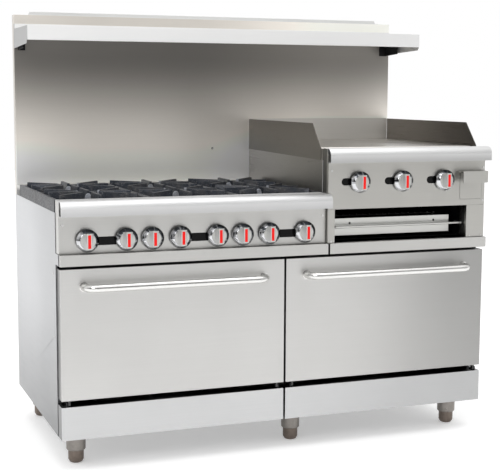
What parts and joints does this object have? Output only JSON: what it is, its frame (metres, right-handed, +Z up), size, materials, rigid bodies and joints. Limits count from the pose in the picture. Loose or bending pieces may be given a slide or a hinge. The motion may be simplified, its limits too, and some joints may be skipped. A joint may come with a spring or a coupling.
{
  "type": "commercial gas range",
  "caption": "Free-standing restaurant gas range with open top burners, a raised griddle over a broiler, drop-door ovens, backguard and high shelf on adjustable legs.",
  "frame": {"origin": "centre of the whole object's box at floor level, under the feet", "axes": "+X to the right seen from the front, +Y to the rear (doors and knobs face -Y), +Z up"},
  "size_m": [1.5312, 0.8697, 1.498],
  "materials": {
    "stainless": "brushed",
    "galvanised": "dull",
    "oven_enamel": "porcelain enamel",
    "wire": "nickel plated",
    "handle_steel": "satin",
    "cast_iron": "matte",
    "griddle_steel": "ground",
    "burner_tube": "aluminised",
    "leg_steel": "satin",
    "pipe": "matte",
    "brass": "machined",
    "screws": "satin",
    "knob_chrome": "polished"
  },
  "bodies": {
    "range_body": {"backguard": "stainless", "base_pan": "galvanised", "broiler_liner": "oven_enamel", "broiler_posts": "stainless", "bullnose_rail": "stainless", "burner_box": "galvanised", "burner_heads": "cast_iron", "burner_venturis": "cast_iron", "control_panel": "stainless", "flue_cap": "stainless", "gas_manifold": "pipe", "gas_valves": "brass", "grease_trough": "galvanised", "griddle_bullnose": "stainless", "griddle_burners": "burner_tube", "griddle_panel": "stainless", "griddle_plate": "griddle_steel", "griddle_side_left": "stainless", "high_shelf": "stainless", "hinge_brackets": "galvanised", "kick_panel_left": "stainless", "kick_panel_right": "stainless", "leg_feet": "leg_steel", "leg_sleeves": "leg_steel", "oven_burners": "burner_tube", "oven_face_frame": "galvanised", "oven_liner_left": "oven_enamel", "oven_liner_right": "oven_enamel", "oven_racks": "wire", "rack_and_tray_rails": "galvanised", "rear_panel": "stainless", "screws_and_rivets": "screws", "shelf_brackets": "galvanised", "side_panel_left": "stainless", "side_panel_right": "stainless", "splash_left": "stainless", "splash_rear": "stainless", "splash_right": "stainless", "top_grates": "cast_iron"},
    "burner_knob_1": {"burner_knob_1": "knob_chrome"},
    "burner_knob_2": {"burner_knob_2": "knob_chrome"},
    "oven_thermostat_knob_left": {"oven_thermostat_knob_left": "knob_chrome"},
    "burner_knob_3": {"burner_knob_3": "knob_chrome"},
    "burner_knob_4": {"burner_knob_4": "knob_chrome"},
    "oven_thermostat_knob_right": {"oven_thermostat_knob_right": "knob_chrome"},
    "burner_knob_5": {"burner_knob_5": "knob_chrome"},
    "burner_knob_6": {"burner_knob_6": "knob_chrome"},
    "griddle_knob_1": {"griddle_knob_1": "knob_chrome"},
    "griddle_knob_2": {"griddle_knob_2": "knob_chrome"},
    "griddle_knob_3": {"griddle_knob_3": "knob_chrome"},
    "oven_door_left": {"door_outer_left": "stainless", "door_inner_left": "galvanised", "door_handle_left": "handle_steel"},
    "oven_door_right": {"door_outer_right": "stainless", "door_inner_right": "galvanised", "door_handle_right": "handle_steel"},
    "broiler_rack": {"broiler_rack": "wire"},
    "grease_drawer": {"grease_drawer": "stainless"},
    "crumb_tray_left": {"crumb_tray_left": "stainless"},
    "crumb_tray_right": {"crumb_tray_right": "stainless"}
  },
  "joints": [
    {"name": "burner_knob_1_turn", "type": "hinge", "parent": "range_body", "child": "burner_knob_1", "pos_m": [-0.6734, -0.36215, 0.743], "axis": [0, -1, 0], "range_deg": [0, 90]},
    {"name": "burner_knob_2_turn", "type": "hinge", "parent": "range_body", "child": "burner_knob_2", "pos_m": [-0.5464, -0.36215, 0.743], "axis": [0, -1, 0], "range_deg": [0, 90]},
    {"name": "oven_thermostat_knob_left_turn", "type": "hinge", "parent": "range_body", "child": "oven_thermostat_knob_left", "pos_m": [-0.4604, -0.36215, 0.743], "axis": [0, -1, 0], "range_deg": [0, 270]},
    {"name": "burner_knob_3_turn", "type": "hinge", "parent": "range_body", "child": "burner_knob_3", "pos_m": [-0.3664, -0.36215, 0.743], "axis": [0, -1, 0], "range_deg": [0, 90]},
    {"name": "burner_knob_4_turn", "type": "hinge", "parent": "range_body", "child": "burner_knob_4", "pos_m": [-0.2394, -0.36215, 0.743], "axis": [0, -1, 0], "range_deg": [0, 90]},
    {"name": "oven_thermostat_knob_right_turn", "type": "hinge", "parent": "range_body", "child": "oven_thermostat_knob_right", "pos_m": [-0.1524, -0.36215, 0.743], "axis": [0, -1, 0], "range_deg": [0, 270]},
    {"name": "burner_knob_5_turn", "type": "hinge", "parent": "range_body", "child": "burner_knob_5", "pos_m": [-0.0584, -0.36215, 0.743], "axis": [0, -1, 0], "range_deg": [0, 90]},
    {"name": "burner_knob_6_turn", "type": "hinge", "parent": "range_body", "child": "burner_knob_6", "pos_m": [0.0696, -0.36215, 0.743], "axis": [0, -1, 0], "range_deg": [0, 90]},
    {"name": "griddle_knob_1_turn", "type": "hinge", "parent": "range_body", "child": "griddle_knob_1", "pos_m": [0.2666, -0.37715, 0.9066], "axis": [0, -1, 0], "range_deg": [0, 90]},
    {"name": "griddle_knob_2_turn", "type": "hinge", "parent": "range_body", "child": "griddle_knob_2", "pos_m": [0.4296, -0.37715, 0.9066], "axis": [0, -1, 0], "range_deg": [0, 90]},
    {"name": "griddle_knob_3_turn", "type": "hinge", "parent": "range_body", "child": "griddle_knob_3", "pos_m": [0.5926, -0.37715, 0.9066], "axis": [0, -1, 0], "range_deg": [0, 90]},
    {"name": "oven_door_left_hinge", "type": "hinge", "parent": "range_body", "child": "oven_door_left", "pos_m": [-0.3834, -0.36915, 0.2245], "axis": [1, 0, 0], "range_deg": [0, 88]},
    {"name": "oven_door_right_hinge", "type": "hinge", "parent": "range_body", "child": "oven_door_right", "pos_m": [0.3786, -0.36915, 0.2245], "axis": [1, 0, 0], "range_deg": [0, 88]},
    {"name": "broiler_rack_slide", "type": "slide", "parent": "range_body", "child": "broiler_rack", "axis": [0, -1, 0], "range_m": [0, 0.35]},
    {"name": "grease_drawer_slide", "type": "slide", "parent": "range_body", "child": "grease_drawer", "axis": [0, -1, 0], "range_m": [0, 0.16]},
    {"name": "crumb_tray_left_slide", "type": "slide", "parent": "range_body", "child": "crumb_tray_left", "axis": [0, -1, 0], "range_m": [0, 0.45]},
    {"name": "crumb_tray_right_slide", "type": "slide", "parent": "range_body", "child": "crumb_tray_right", "axis": [0, -1, 0], "range_m": [0, 0.45]}
  ]
}
